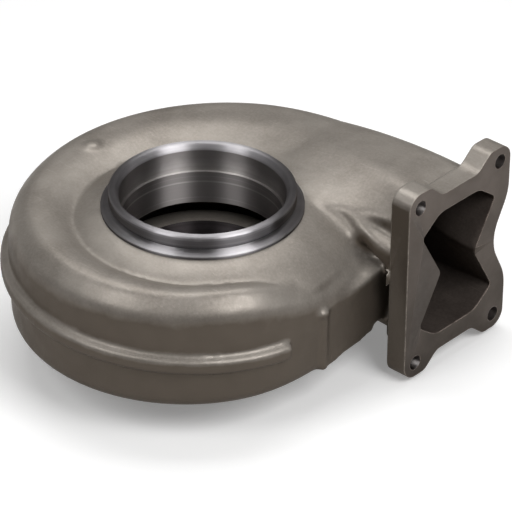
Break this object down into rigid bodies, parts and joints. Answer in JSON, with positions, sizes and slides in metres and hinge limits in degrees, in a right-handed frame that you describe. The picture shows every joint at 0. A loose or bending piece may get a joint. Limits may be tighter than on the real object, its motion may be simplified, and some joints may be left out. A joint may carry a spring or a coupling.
{
  "type": "turbocharger turbine housing",
  "caption": "Cast-iron turbine housing: spiral scroll with an hourglass inlet flange, machined collar on top and round gas outlet below.",
  "frame": {"origin": "on the wheel axis, in the plane of the outlet face", "axes": "+Z along the wheel axis from the outlet to the bearing-housing collar, +X out of the inlet flange, +Y towards the inlet duct's side"},
  "size_m": [0.3519, 0.372, 0.188],
  "materials": {
    "casting": "satin blasted casting, machined at the collar and bores"
  },
  "bodies": {
    "root": {"turbine_housing": "casting"}
  },
  "joints": []
}
